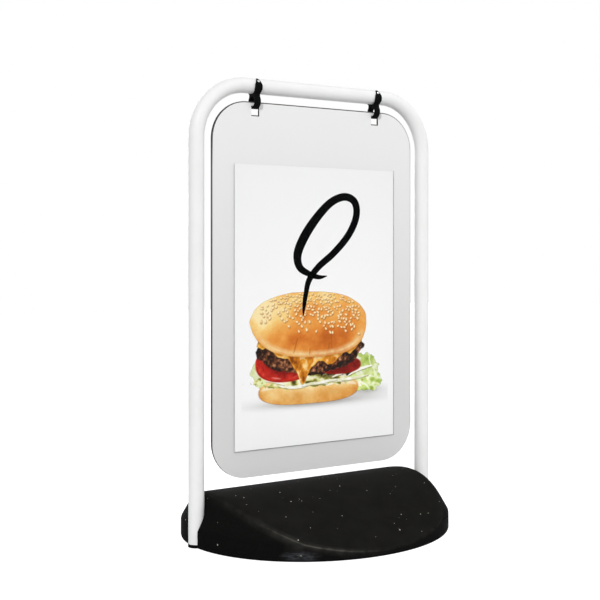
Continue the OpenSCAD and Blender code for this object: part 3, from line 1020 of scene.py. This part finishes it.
@dataclass
class Canvas:
    """A painted rectangle of the poster: colours in sRGB and their alpha, on an even grid in millimetres."""

    low: tuple[float, float] = (-188.0, -224.0)
    high: tuple[float, float] = (188.0, 38.0)
    pitch: float = 1.0
    seed: int = 7
    paper: float = 0.96

    def __post_init__(self) -> None:
        """Lays out the grid."""
        across = np.arange(self.low[0], self.high[0] + 1e-6, self.pitch)
        up = np.arange(self.low[1], self.high[1] + 1e-6, self.pitch)
        self.x, self.z = np.meshgrid(across, up)
        self.colour = np.full((*self.x.shape, 3), self.paper)
        self.alpha = np.zeros(self.x.shape)
        self.random = np.random.default_rng(self.seed)

    def cloud(self, size: float, layers: int = 4, stretch: float = 1.0, lean: float = 0.0) -> np.ndarray:
        """A smooth random pattern from 0 to 1.

        Args:
            size: how wide its largest blots are, in millimetres.
            layers: how many finer patterns are added, each half the size of the last.
            stretch: how much longer the blots are across than up.
            lean: how far the blots climb for each length across.

        Returns:
            One value for each point of the grid.
        """
        total, weight = np.zeros(self.x.shape), 0.0
        for k in range(layers):
            step = size / 2 ** k
            u = (self.x - self.low[0]) / (step * stretch)
            v = (self.z - lean * self.x) / step
            v = v - v.min()
            table = self.random.random((int(v.max()) + 3, int(u.max()) + 3))
            i, j = v.astype(int), u.astype(int)
            a, b = v - i, u - j
            a, b = a * a * (3 - 2 * a), b * b * (3 - 2 * b)
            value = (table[i, j] * (1 - a) * (1 - b) + table[i + 1, j] * a * (1 - b)
                     + table[i, j + 1] * (1 - a) * b + table[i + 1, j + 1] * a * b)
            total += value / 2 ** k
            weight += 1 / 2 ** k
        return np.clip((total / weight - 0.5) * 1.5 + 0.5, 0, 1)

    def lay(self, mask: np.ndarray, colour: np.ndarray | str, strength: float = 1.0) -> None:
        """Paints a colour where the mask is, over what is there.

        Args:
            mask: how much of the new colour each point takes, from 0 to 1.
            colour: a hex colour, or one for each point.
            strength: a factor on the whole mask.
        """
        if isinstance(colour, str):
            colour = srgb(colour)
        share = np.clip(mask, 0, 1) * strength
        alpha = share + self.alpha * (1 - share)
        held = (self.alpha * (1 - share))[..., None]
        self.colour = (colour * share[..., None] + self.colour * held) / np.maximum(alpha, 1e-6)[..., None]
        self.alpha = alpha

    def within(self, distance: np.ndarray, soft: float = 1.3) -> np.ndarray:
        """A mask that is 1 where a signed distance in millimetres is below 0, with an edge soft mm wide."""
        return np.clip(0.5 - distance / soft, 0, 1)

    def blob(self, x: float, z: float, half_w: float, half_h: float) -> np.ndarray:
        """A soft round spot about x and z, with the given half sizes."""
        return np.exp(-(((self.x - x) / half_w) ** 2 + ((self.z - z) / half_h) ** 2) * 1.3)

    def under(self, line: tuple[tuple[float, float], ...], ripple: float = 0.0) -> np.ndarray:
        """How far each point lies below a smooth line through the given points.

        Args:
            line: points from left to right.
            ripple: the height of small waves on the line.

        Returns:
            Millimetres, below 0 above the line.
        """
        x, z = np.array(line).T
        height = np.interp(self.x[0], x, z)
        pad = np.pad(height, 6, mode="edge")
        window = np.hanning(13)
        height = np.convolve(pad, window / window.sum(), mode="valid")
        height = height + ripple * (np.sin(self.x[0] / 5.3) + 0.6 * np.sin(self.x[0] / 2.9 + 1))
        return height[None, :] - self.z

    def ramp(self, value: np.ndarray, stops: list[tuple[float, str]]) -> np.ndarray:
        """Colours laid out along a value.

        Args:
            value: one value for each point of the grid.
            stops: the colour at some of the values, from low to high.

        Returns:
            Red, green and blue for each point, in sRGB.
        """
        at = [s[0] for s in stops]
        table = np.array([srgb(s[1]) for s in stops])
        return np.stack([np.interp(value, at, table[:, k]) for k in range(3)], axis=-1)


@dataclass
class BurgerPicture:
    """A plain burger in the printer's own drawing: seeded crown, cheese, patty, tomato, leaf and heel."""

    canvas: Canvas = field(default_factory=Canvas)
    middle: float = -20.0
    crown_half: float = 147.0
    crown_level: float = -34.0
    crown_up: float = 63.0
    crown_down: float = 76.0
    seeds: int = 200
    seed_long: float = 3.5          # half a seed's length, and half its width
    seed_wide: float = 2.1
    shreds: tuple[tuple[float, ...], ...] = (
        (82, -150, 46, 3.4, 0.16, 5), (62, -161, 42, 3.6, 0.04, -3), (112, -147, 34, 3.0, 0.28, 4),
        (-62, -168, 38, 3.4, -0.04, -4), (-8, -170, 34, 3.2, 0.02, 3), (-108, -160, 24, 3.4, -0.25, 3),
        (98, -160, 38, 2.6, 0.1, -2), (24, -166, 28, 3.0, 0.12, 2),
    )
    melted_edge: tuple[tuple[float, float], ...] = (
        (-158, -80), (-138, -88), (-122, -84), (-104, -104), (-88, -112), (-76, -108), (-62, -130), (-50, -146),
        (-43, -165), (-34, -167), (-27, -150), (-16, -132), (-2, -122), (14, -120), (26, -128), (40, -130),
        (52, -116), (68, -104), (84, -108), (100, -96), (112, -86), (122, -80),
    )
    crown_lights: tuple[tuple[float, ...], ...] = (     # x, z, half sizes, and how much lighter it is there
        (-52, -72, 40, 26, -0.2), (44, -62, 46, 30, -0.22), (92, -46, 30, 34, -0.12), (-138, -34, 26, 44, 0.34),
        (0, 16, 95, 14, 0.12), (-96, -8, 36, 24, 0.1), (10, -32, 46, 18, 0.06),
    )

    def disc(self, x: float, z: float, half_w: float, half_h: float,
             power: float = 2.0, ruffle: float = 0.0) -> np.ndarray:
        """Signed distance, roughly in millimetres, from a rounded shape whose rim may be ruffled.

        Args:
            x: its middle, across.
            z: its middle, up.
            half_w: half its width.
            half_h: half its height.
            power: 2 for an ellipse, and more for a squarer shape.
            ruffle: how deep the ruffles of its rim are.

        Returns:
            One distance for each point of the grid, below 0 inside.
        """
        c = self.canvas
        p, q = np.abs(c.x - x) / half_w, np.abs(c.z - z) / half_h
        size = (p ** power + q ** power) ** (1 / power)
        return (size - 1) * min(half_w, half_h) + (ruffle * (c.cloud(11, 3) - 0.5) if ruffle else 0.0)

    def strip(self, x: float, z: float, length: float, half_h: float, lean: float, bow: float) -> np.ndarray:
        """A mask of one thin curved strip, pointed at both ends.

        Args:
            x: its middle, across.
            z: its middle, up, before it bows.
            length: half its length.
            half_h: half its height at the middle.
            lean: how far it climbs for each length across.
            bow: how far its middle is lifted.

        Returns:
            One share for each point of the grid.
        """
        c = self.canvas
        along = (c.x - x) / length
        off = c.z - z - lean * (c.x - x) - bow * (1 - along ** 2)
        half = half_h * np.sqrt(np.clip(1 - along ** 2, 0, 1))
        return c.within(np.abs(off) - half, 1.2) * (np.abs(along) < 1)

    def shadow(self) -> None:
        """The soft shadow on the table."""
        c = self.canvas
        spots = ((20, -203, 150, 14, 0.22), (128, -190, 48, 10, 0.3), (-15, -207, 118, 8, 0.42))
        for x, z, w, h, strength in spots:
            c.lay(c.blob(x, z, w, h), "#77716b", strength)

    def leaf(self) -> None:
        """The pale curly leaf at the right, and what shows of it at the left."""
        c = self.canvas
        rib = np.abs(c.cloud(30, 4, 1.3, -0.5) - 0.5) * 2
        body = c.cloud(17, 4, 1.2, 0.3)
        tone = np.clip(0.35 + 0.6 * (body - 0.3) + 0.45 * np.clip(0.22 - rib, 0, 1) / 0.22, 0, 1)
        greens = [(0.1, "#7c9a35"), (0.32, "#a9c455"), (0.52, "#cfe08a"), (0.72, "#e9f1c2"), (0.92, "#f8faea")]
        green = c.ramp(tone, greens)
        c.lay(c.within(self.disc(118, -148, 42, 36, 2.2, 11)), green * 0.96)
        c.lay(c.within(self.disc(140, -170, 27, 21, 2.0, 11)), green)
        c.lay(c.within(self.disc(106, -172, 30, 17, 2.0, 9)), np.clip(green * 1.03, 0, 1))
        pale = c.ramp(tone, [(0.1, "#c3cd78"), (0.5, "#e6ecb4"), (0.9, "#f7f9e6")])
        c.lay(c.within(self.disc(-143, -138, 24, 24, 2.0, 11), 2.5), pale, 0.85)
        c.lay(c.within(self.disc(-126, -158, 26, 13, 2.0, 8), 2.0), np.clip(pale * 1.02, 0, 1), 0.9)

    def heel(self) -> None:
        """The lower half of the bun."""
        c = self.canvas
        p, q = (c.x + 20) / 127, (c.z + 180) / 29
        outline = (np.abs(p) ** 3.2 + np.abs(q) ** 2.3) ** 0.4
        light = 0.66 + 0.22 * q - 0.3 * np.abs(p) ** 4
        light = light + 0.35 * (c.cloud(34, 4) - 0.5) + 0.08 * (c.cloud(4, 2) - 0.5)
        browns = [(0.15, "#b86c26"), (0.38, "#de9845"), (0.6, "#f0c074"), (0.82, "#f8dfa4")]
        c.lay(c.within((outline - 1) * 29), c.ramp(np.clip(light, 0, 1), browns))
        c.lay(c.blob(-50, -192, 34, 12) + c.blob(40, -188, 30, 10), "#cf8a3e", 0.35)
        crumb = c.within(np.abs(c.z + 164 + 0.0006 * (c.x + 20) ** 2) - 3.5, 3.0)
        c.lay(c.within((outline - 1) * 29 + 1.5, 2.0) * crumb, "#f8e8c4", 0.9)

    def bed(self) -> None:
        """Shredded leaf and onion between heel and tomato."""
        c = self.canvas
        tone = c.cloud(10, 3, 1.8)
        greens = [(0.12, "#3b3312"), (0.3, "#8d8a35"), (0.45, "#d2cf7c"), (0.62, "#f0ecbd"), (0.85, "#fdfbef")]
        c.lay(c.within(self.disc(-18, -142, 116, 22, 2.6)), "#1f120a")
        c.lay(c.within(self.disc(-24, -161, 114, 12, 2.6, 10)), c.ramp(tone, greens))
        c.lay(c.blob(34, -150, 34, 7), "#2c1c10", 0.75)
        white = c.ramp(tone, [(0.2, "#e3e2bd"), (0.7, "#fdfcf4")])
        for x, z, *form in self.shreds:
            c.lay(self.strip(x + 0.8, z - 1.6, *form), "#5d5a2a", 0.4)
            c.lay(self.strip(x, z, *form), white)

    def tomato(self) -> None:
        """Two slices of tomato, the left one thick and shining."""
        c = self.canvas
        for x, z, w, h, dim in ((-84, -121, 71, 39, 1.0), (58, -132, 56, 19, 0.72)):
            d = self.disc(x, z, w, h, 2.3)
            tone = np.clip(0.56 + 0.022 * d + 0.5 * (c.cloud(13, 4) - 0.5), 0, 1)
            reds = [(0.1, "#76100b"), (0.35, "#a91d14"), (0.55, "#c92e20"),
                    (0.75, "#dc5a42"), (0.92, "#ee9a80")]
            c.lay(c.within(d), c.ramp(tone, reds) * dim)
            c.lay(c.within(np.abs(d + 1.8) - 1.0, 1.2) * (c.z < z - 3), "#8c0d08", 0.7)
            shine = c.within(np.abs(d + 8) - 1.3, 2.4) * (c.z < z - 8)
            c.lay(shine * np.clip(c.cloud(22, 2) * 2 - 0.7, 0, 1), "#ffd9cc", 0.75 * dim)

    def patty(self) -> None:
        """The grilled patty, darker where the crown shades it."""
        c = self.canvas
        coarse, fine = c.cloud(13, 3), c.cloud(5, 2)
        tuck = np.clip(-104 - c.z, 0, 99) * np.abs((c.x + 16) / 134) ** 2 * 0.35
        d = self.disc(-16, -98, 134, 47, 2.7) + 6 * (coarse - 0.5) + tuck
        tone = np.clip(0.55 * coarse + 0.55 * fine - 0.08, 0, 1)
        browns = [(0.2, "#140905"), (0.4, "#331a10"), (0.55, "#56301c"),
                  (0.7, "#855033"), (0.85, "#b98258"), (0.97, "#e2bd98")]
        shade = np.clip((-74 - c.z) / 22, 0.25, 1)[..., None]
        c.lay(c.within(d), c.ramp(tone, browns) * shade)

    def cheese(self) -> None:
        """Melted cheese that runs over the patty, with one long drip."""
        c = self.canvas
        sheet = np.maximum(c.under(self.melted_edge, 1.2), c.z + 58)
        drip = np.abs(c.x + 38) < 26
        d = np.where(drip, sheet, np.maximum(sheet, self.disc(-18, -86, 133, 44, 2.4)))
        melt, fine = c.cloud(19, 4, 0.8), c.cloud(7, 2)
        tone = np.clip(0.42 + 0.8 * (melt - 0.5) + 0.2 * (fine - 0.5) + 0.018 * np.clip(d + 9, 0, 9), 0, 1)
        yolks = [(0.1, "#8f4a0c"), (0.32, "#c67417"), (0.52, "#e2952a"), (0.7, "#f3b548"), (0.86, "#fbd98d")]
        c.lay(c.within(d + 0.5, 7.0) * c.within(c.z + 62) * c.alpha, "#180a04", 0.6)
        c.lay(c.within(d), c.ramp(tone, yolks) * np.clip((-66 - c.z) / 12, 0.55, 1)[..., None])
        c.lay(c.within(0.62 - melt, 0.1) * c.within(d + 4, 2), "#fff0c9", 0.5)
        c.lay(c.within(melt - 0.2, 0.1) * c.within(d + 3, 2), "#7a3a0c", 0.45)

    def crown(self) -> None:
        """The domed upper half of the bun, lit from the upper left."""
        c = self.canvas
        low = c.z < self.crown_level
        middle = self.middle + 14 * np.clip((self.crown_level - c.z) / self.crown_down, 0, 1)
        p = (c.x - middle) / self.crown_half
        q = (c.z - self.crown_level) / np.where(low, self.crown_down, self.crown_up)
        size = np.abs(p) ** np.where(low, 2.9, 2.35) + np.abs(q) ** np.where(low, 2.1, 2.2)
        edge = (size ** 0.43 - 1) * 66 + 1.2 * (c.cloud(24, 2) - 0.5)
        c.lay(c.within(edge + 2.0, 12.0) * low * c.alpha, "#1c0c05", 0.6)
        light = 0.62 + 0.16 * q - 0.06 * p - 0.25 * np.clip(size - 0.8, 0, 1) * ~low
        light = light + 0.42 * (c.cloud(52, 5) - 0.5) + 0.07 * (c.cloud(4, 2) - 0.5)
        for *spot, change in self.crown_lights:
            light = light + change * c.blob(*spot)
        browns = [(0.15, "#ab5316"), (0.35, "#cf7127"), (0.52, "#e4913d"),
                  (0.7, "#efb15c"), (0.86, "#f5cf80"), (1.0, "#f9e4ad")]
        c.lay(c.within(edge), c.ramp(np.clip(light, 0, 1), browns))
        rim = np.clip(1 - np.abs(edge + 5.5) / 7.0, 0, 1) * np.clip(-q * 2.2 - 0.35, 0, 1)
        c.lay(rim * (0.55 + 0.6 * c.cloud(9, 3)) * c.within(edge), "#f3dfb0", 0.9)
        cracks = ((-56, -84, 17, 0.32), (36, -74, 20, -0.04), (29, -88, 9, 0.25), (-20, -98, 8, 0.1))
        for x, z, length, lean in cracks:
            up = c.z - z
            off = np.abs(c.x - x - lean * up) - np.sqrt(np.clip(1 - (up / length) ** 2, 0, 1))
            c.lay(c.within(off, 2.2) * (np.abs(up) < length) * c.within(edge + 3), "#8c4617", 0.6)

    def sesame(self) -> None:
        """Sesame seeds, thickest on top of the crown."""
        c = self.canvas
        placed: list[tuple[float, float]] = []
        while len(placed) < self.seeds:
            p, q = c.random.uniform(-0.9, 0.88), c.random.uniform(-0.55, 0.95)
            turn, tint, size, chance = (c.random.random() for _ in range(4))
            x = self.middle + p * self.crown_half
            z = self.crown_level + q * (self.crown_up if q > 0 else self.crown_down)
            crowded = any(abs(x - u) < 5.2 and abs(z - v) < 4.4 for u, v in placed)
            if abs(p) ** 2.35 + abs(q) ** 2.2 > 0.93 or chance > 0.32 + 0.8 * q + 0.22 * p or crowded:
                continue
            placed.append((x, z))
            hull = "#f6dfae" if tint > 0.3 else "#ecc98c"
            self.seed(x, z, 1 - 0.5 * max(q, 0), 0.85 + 0.3 * size, math.pi * turn, hull)

    def seed(self, x: float, z: float, squeeze: float, grow: float, angle: float, hull: str) -> None:
        """Paints one sesame seed with its shadow and its shine.

        Args:
            x: its middle, across.
            z: its middle, up.
            squeeze: how much lower it looks where the crown curves away.
            grow: its size beside a usual seed.
            angle: how far it is turned, in radians.
            hull: its colour.
        """
        c = self.canvas
        shadow, shine = (0.9, -1.4, 1.3, "#8f4d1b", 0.5), (-0.5, 0.5, 0.45, "#fff6dd", 0.65)
        for dx, dz, scale, colour, strength in (shadow, (0.0, 0.0, 1.0, hull, 1.0), shine):
            a, b = c.x - x - dx, (c.z - z - dz) / squeeze
            u = a * math.cos(angle) + b * math.sin(angle)
            v = b * math.cos(angle) - a * math.sin(angle)
            taper = 1 - 0.25 * np.clip(u / self.seed_long, -1, 1)
            across = np.hypot(u / (self.seed_long * grow * scale), v / (self.seed_wide * grow * scale * taper))
            c.lay(c.within((across - 1) * 2.2, 1.2), colour, strength)

    def paint(self) -> Canvas:
        """Paints the whole picture from the back forwards.

        Returns:
            The painted canvas.
        """
        for step in (self.shadow, self.leaf, self.heel, self.bed, self.tomato,
                     self.patty, self.cheese, self.crown, self.sesame):
            step()
        return self.canvas


@dataclass
class LoopedPick:
    """A knotted party pick, drawn as one brush line of solid black: its strip rises from the bun, goes round one
    long loop, crosses itself at the knot and ends in a short tail."""

    marks: tuple[tuple[float, float, float], ...] = (
        (-37.0, -22.0, 2.0), (-35.0, -2.0, 9.0), (-30.0, 26.0, 12.0), (-22.0, 54.0, 14.0), (2.0, 82.0, 15.0),
        (42.0, 112.0, 16.0), (80.0, 150.0, 17.0), (101.0, 190.0, 18.0), (98.0, 222.0, 18.0), (72.0, 234.0, 17.0),
        (36.0, 222.0, 18.0), (0.0, 190.0, 20.0), (-33.0, 148.0, 22.0), (-51.0, 110.0, 21.0), (-46.0, 82.0, 17.0),
        (-24.0, 68.0, 13.0), (2.0, 60.0, 10.0), (24.0, 62.0, 2.0),
    )
    steps: int = 14
    thinnest: float = 0.6

    def stroke(self) -> np.ndarray:
        """Draws the brush line smoothly through its marks.

        Returns:
            Rows of x, z and width in millimetres.
        """
        m = np.array(self.marks)
        m = np.vstack([2 * m[0] - m[1], m, 2 * m[-1] - m[-2]])
        t = np.linspace(0, 1, self.steps, endpoint=False)[:, None]
        rows = []
        for a, b, c, d in zip(m[:-3], m[1:-2], m[2:-1], m[3:]):
            square, cube = 2 * a - 5 * b + 4 * c - d, 3 * b - a - 3 * c + d
            rows.append(0.5 * (2 * b + (c - a) * t + square * t ** 2 + cube * t ** 3))
        line = np.vstack([*rows, m[-2:-1]])
        line[:, 2] = np.maximum(line[:, 2], self.thinnest)
        return line


@dataclass
class PrintedPoster:
    """One poster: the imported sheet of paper, and the picture that is printed on it."""

    side: Face
    node: str
    picture_gap: float = 0.00003
    ink_gap: float = 0.00006
    least_ink: float = 0.012        # cells of the picture with less ink than this are left out

    def place(self, x_mm: np.ndarray, z_mm: np.ndarray, gap: float) -> np.ndarray:
        """Lays points of the drawing on this poster's outer face.

        Args:
            x_mm: how far right of the sheet's middle, as a reader sees it.
            z_mm: how far above the sheet's middle.
            gap: how far in front of the paper.

        Returns:
            Points in the row frame.
        """
        low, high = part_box(self.node)
        outer = (low.y if self.side is Face.FRONT else high.y) + self.side.value * gap
        x = -self.side.value * np.asarray(x_mm) * MM + (low.x + high.x) / 2
        z = np.asarray(z_mm) * MM + (low.z + high.z) / 2
        return np.column_stack([x.ravel(), np.full(x.size, outer), z.ravel()])

    def printed(self, layer: str, points: list, faces: list) -> bpy.types.Mesh:
        """Makes the mesh of a printed layer, whose faces all look out from the board.

        Args:
            layer: what the layer is called after its poster.
            points: rows of x, y and z.
            faces: lists of point numbers.

        Returns:
            The mesh.
        """
        mesh = bpy.data.meshes.new(f"{self.node}_{layer}")
        mesh.from_pydata(points, [], faces)
        shape = bmesh.new()
        shape.from_mesh(mesh)
        shape.normal_update()
        wrong = [f for f in shape.faces if f.normal.y * self.side.value < 0]
        bmesh.ops.reverse_faces(shape, faces=wrong)
        shape.to_mesh(mesh)
        shape.free()
        return mesh

    def picture(self, canvas: Canvas) -> bpy.types.Mesh:
        """The colour picture as a fine sheet whose points carry the inks.

        Args:
            canvas: the painted picture.

        Returns:
            The mesh of the printed layer.
        """
        rows, columns = canvas.x.shape
        number = np.arange(rows * columns).reshape(rows, columns)
        corner = [number[:-1, :-1], number[:-1, 1:], number[1:, 1:], number[1:, :-1]]
        shown = np.maximum.reduce([canvas.alpha.ravel()[k] for k in corner]) > self.least_ink
        faces = np.stack([k[shown] for k in corner], axis=-1)
        used, compact = np.unique(faces, return_inverse=True)
        points = self.place(canvas.x, canvas.z, self.picture_gap)[used]
        mesh = self.printed("picture", points.tolist(), compact.reshape(faces.shape).tolist())
        light = linear(np.clip(canvas.colour.reshape(-1, 3)[used], 0, 1))
        ink = mesh.color_attributes.new(INK_LAYER, "FLOAT_COLOR", "POINT")
        values = np.column_stack([light, canvas.alpha.ravel()[used]]).astype(np.float32)
        ink.data.foreach_set("color", values.ravel())
        return mesh

    def drawing(self, stroke: np.ndarray) -> bpy.types.Mesh:
        """The black stroke as a flat ribbon of ink.

        Args:
            stroke: rows of x, z and width in millimetres.

        Returns:
            The mesh of the printed layer.
        """
        along = np.gradient(stroke[:, :2], axis=0)
        along /= np.linalg.norm(along, axis=1)[:, None] + 1e-9
        out = np.column_stack([-along[:, 1], along[:, 0]]) * stroke[:, 2:3] / 2
        points, faces, count = [], [], len(stroke)
        for band, share in enumerate((-1, -0.5, 0, 0.5, 1)):
            line = stroke[:, :2] + out * share
            points.append(self.place(line[:, 0], line[:, 1], self.ink_gap))
            if band:
                a, c = (band - 1) * count, band * count
                faces += [[a + k, a + k + 1, c + k + 1, c + k] for k in range(count - 1)]
        return self.printed("ink", np.vstack(points).tolist(), faces)

    def build(self, canvas: Canvas, stroke: np.ndarray, finishes: Finishes) -> Pieces:
        """Dresses the paper and prints on it.

        Args:
            canvas: the painted picture.
            stroke: the line of the black drawing.
            finishes: the sign's materials.

        Returns:
            The paper and its two printed layers.
        """
        pieces = dress_nodes((self.node,), finishes.paper)
        for mesh, ink in ((self.picture(canvas), finishes.process), (self.drawing(stroke), finishes.black)):
            piece = new_object(mesh.name, mesh)
            dress(piece, ink)
            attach(piece, Body.BOARD.value)
            pieces.append(piece)
        return pieces


@dataclass
class SwingBoard:
    """The board that swings, with its sleeves, tapes and posters."""

    sheets: tuple[str, ...] = ("panel_sheet",)
    sleeves: tuple[str, ...] = ("sleeve_front", "sleeve_rear")
    tapes: tuple[str, ...] = ("sleeve_tape_front", "sleeve_tape_rear")

    def build(self, finishes: Finishes) -> Pieces:
        """Dresses the board and prints its two posters.

        Args:
            finishes: the sign's materials.

        Returns:
            All the board's pieces.
        """
        canvas, stroke = BurgerPicture().paint(), LoopedPick().stroke()
        return [
            *dress_nodes(self.sheets, finishes.board),
            *dress_nodes(self.sleeves, finishes.film),
            *dress_nodes(self.tapes, finishes.foam),
            *PrintedPoster(Face.FRONT, "poster_front").build(canvas, stroke, finishes),
            *PrintedPoster(Face.REAR, "poster_rear").build(canvas, stroke, finishes),
        ]


# ---------------------------------------------------------------- the studio


@dataclass
class Lamp:
    """One far studio light that lights everything evenly from one side; the wider its spread, the softer its
    shadows."""

    name: str
    turn_deg: float      # from straight in front, to the right
    rise_deg: float
    strength: float
    spread_deg: float
    distance: float = 3.0

    def build(self) -> None:
        """Hangs the lamp so that it shines on the sign."""
        data = bpy.data.lights.new(self.name, "SUN")
        data.energy, data.angle = self.strength, math.radians(self.spread_deg)
        turn, rise = math.radians(self.turn_deg), math.radians(self.rise_deg)
        level = math.cos(rise)
        towards = Vector((math.sin(turn) * level, -math.cos(turn) * level, math.sin(rise)))
        made = new_object(self.name, data)
        made.location = towards * self.distance
        made.rotation_euler = towards.to_track_quat("Z", "Y").to_euler()


@dataclass
class Studio:
    """The pale floor, the light and the camera."""

    camera_place: tuple[float, float, float] = (-1.30875, -1.96795, 0.5909)
    camera_turn_deg: float = -32.777
    lens_mm: float = 66.0
    sensor_mm: float = 36.0
    shift_up: float = -0.0804
    surround: float = 0.33
    floor_half: float = 8.0
    floor_gap: float = 0.0002
    floor_colour: str = "#d4d4d4"
    floor_roughness: float = 0.9
    floor_glow: float = 0.8
    lamps: tuple[Lamp, ...] = (
        Lamp("key_lamp", -46.0, 25.0, 1.8, 4.0),
        Lamp("fill_lamp", 50.0, 12.0, 1.8, 110.0),
        Lamp("rear_lamp", 165.0, 12.0, 0.9, 30.0),
    )

    def camera(self) -> None:
        """Sets up the camera that sees the sign from the left of its front."""
        data = bpy.data.cameras.new("view_camera")
        data.lens, data.sensor_width, data.shift_y = self.lens_mm, self.sensor_mm, self.shift_up
        made = new_object("view_camera", data)
        made.location = self.camera_place
        made.rotation_euler = (math.radians(90), 0.0, math.radians(self.camera_turn_deg))
        bpy.context.scene.camera = made

    def seen(self, tree: Tree, low: float, high: float) -> Socket:
        """A strength that is high for the eye, mirrors and glass, and low for plain light.

        Args:
            tree: the node tree that gets it.
            low: the strength as a lamp.
            high: the strength as it is seen.

        Returns:
            The socket of the strength.
        """
        path = add(tree, "ShaderNodeLightPath").outputs
        share = path["Is Camera Ray"]
        for ray in ("Is Transmission Ray", "Is Glossy Ray"):
            share = add(tree, MATH, {"operation": "MAXIMUM", 0: share, 1: path[ray]}).outputs[0]
        return add(tree, RANGE, {0: share, 1: 0.0, 2: 1.0, 3: low, 4: high}).outputs[0]

    def world(self) -> None:
        """A plain white surround that is brighter to the eye, and in reflections, than as a lamp."""
        world = bpy.data.worlds.new("white_surround")
        world.use_nodes = True
        back = world.node_tree.nodes["Background"]
        back.inputs["Color"].default_value = rgba("#ffffff")
        world.node_tree.links.new(self.seen(world.node_tree, self.surround, 1.0), back.inputs["Strength"])
        bpy.context.scene.world = world

    def floor(self) -> None:
        """A pale paper floor that keeps the sign's shadow and shows no horizon."""
        half = self.floor_half
        corners = [(x * half, y * half, 0.0) for x, y in ((-1, -1), (1, -1), (1, 1), (-1, 1))]
        mesh = bpy.data.meshes.new("studio_floor")
        mesh.from_pydata(corners, [], [[0, 1, 2, 3]])
        piece = new_object("studio_floor", mesh)
        piece.location.z = -self.floor_gap
        material = bpy.data.materials.new("pale_paper_floor")
        material.use_nodes = True
        tree = material.node_tree
        inputs = tree.nodes["Principled BSDF"].inputs
        inputs["Base Color"].default_value = rgba(self.floor_colour)
        inputs["Roughness"].default_value = self.floor_roughness
        inputs["Specular IOR Level"].default_value = 0.0
        inputs["Emission Color"].default_value = rgba("#ffffff")
        tree.links.new(self.seen(tree, 0.0, self.floor_glow), inputs["Emission Strength"])
        dress(piece, material)

    def build(self) -> None:
        """Sets up floor, surround, lamps and camera."""
        self.world()
        self.floor()
        for lamp in self.lamps:
            lamp.build()
        self.camera()
        bpy.context.scene.view_settings.view_transform = "Standard"


def main() -> None:
    """Builds the sign piece by piece."""
    logging.basicConfig(level=logging.INFO, format="%(name)s: %(message)s")
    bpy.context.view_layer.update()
    finishes = Finishes()
    Studio().build()
    pieces = [MouldedBase().build(finishes)]
    pieces += Hangers().build(finishes)
    pieces += StandHardware().build(finishes)
    pieces += SwingBoard().build(finishes)


if __name__ == "__main__":
    main()
